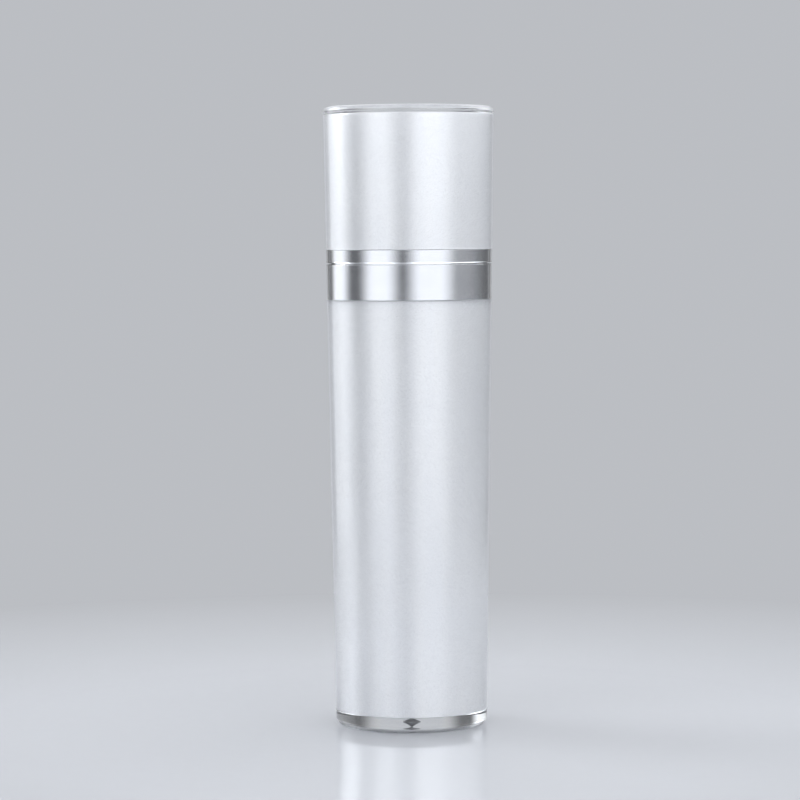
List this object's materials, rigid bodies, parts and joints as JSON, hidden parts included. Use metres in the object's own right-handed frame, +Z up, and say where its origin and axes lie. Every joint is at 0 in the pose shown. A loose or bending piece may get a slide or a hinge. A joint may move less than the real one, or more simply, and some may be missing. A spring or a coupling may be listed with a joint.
{
  "type": "toner bottle",
  "caption": "Tall tapered cosmetic bottle with clear walls over pearl white, a silver shoulder ring, a press pump and a pull-off overcap.",
  "frame": {"origin": "middle of the base, on the bottle's axis, where it stands", "axes": "+Z up along the bottle's axis; the pump's nozzle points to -Y, the side that the picture shows"},
  "size_m": [0.048, 0.048, 0.174],
  "materials": {
    "clear_acrylic": "polished clear acrylic, lacquered pearl white on its inner faces, bare at the thin mouth",
    "pearl_polypropylene": "pearl white, satin gloss",
    "silver_plate": "bright silver plating",
    "white_polypropylene": "smooth moulded white",
    "natural_polyethylene": "uncoloured, waxy",
    "grey_elastomer": "matt",
    "spring_steel": "drawn stainless wire and polished ball"
  },
  "bodies": {
    "bottle": {"outer_bottle": "clear_acrylic", "inner_bottle": "pearl_polypropylene", "shoulder_ring": "silver_plate"},
    "overcap": {"cap_shell": "clear_acrylic", "cap_liner": "pearl_polypropylene"},
    "pump": {"pump_housing": "white_polypropylene", "housing_retainer": "white_polypropylene", "neck_gasket": "grey_elastomer", "dip_tube": "natural_polyethylene", "return_spring": "spring_steel"},
    "closure": {"closure_cap": "white_polypropylene", "closure_cover": "silver_plate"},
    "plunger": {"pump_stem": "white_polypropylene", "piston_rod": "natural_polyethylene"},
    "head": {"actuator_head": "white_polypropylene"},
    "piston": {"pump_piston": "natural_polyethylene"},
    "inlet_valve": {"inlet_ball": "spring_steel"}
  },
  "joints": [
    {"name": "cap_lift", "type": "slide", "parent": "bottle", "child": "overcap", "axis": [0, 0, 1], "range_m": [0, 0.06]},
    {"name": "pump_lift", "type": "slide", "parent": "bottle", "child": "pump", "axis": [0, 0, 1], "range_m": [0, 0.0045]},
    {"name": "closure_turn", "type": "hinge", "parent": "pump", "child": "closure", "pos_m": [0, 0, 0.1343], "axis": [0, 0, 1], "range_deg": [0, 540]},
    {"name": "press", "type": "slide", "parent": "pump", "child": "plunger", "axis": [0, 0, -1], "range_m": [0, 0.0045], "stiffness_N_per_m": 900, "springref_m": -0.006, "deforming": ["return_spring"]},
    {"name": "head_spin", "type": "hinge", "parent": "plunger", "child": "head", "pos_m": [0, 0, 0.1551], "axis": [0, 0, 1], "continuous": true},
    {"name": "piston_slip", "type": "slide", "parent": "plunger", "child": "piston", "axis": [0, 0, 1], "range_m": [0, 0.0008]},
    {"name": "ball_lift", "type": "slide", "parent": "pump", "child": "inlet_valve", "axis": [0, 0, 1], "range_m": [0, 0.0012]}
  ],
  "couplings": [
    {"joint": "pump_lift", "follows": "closure_turn", "m_per_rad": 0.00047746}
  ]
}
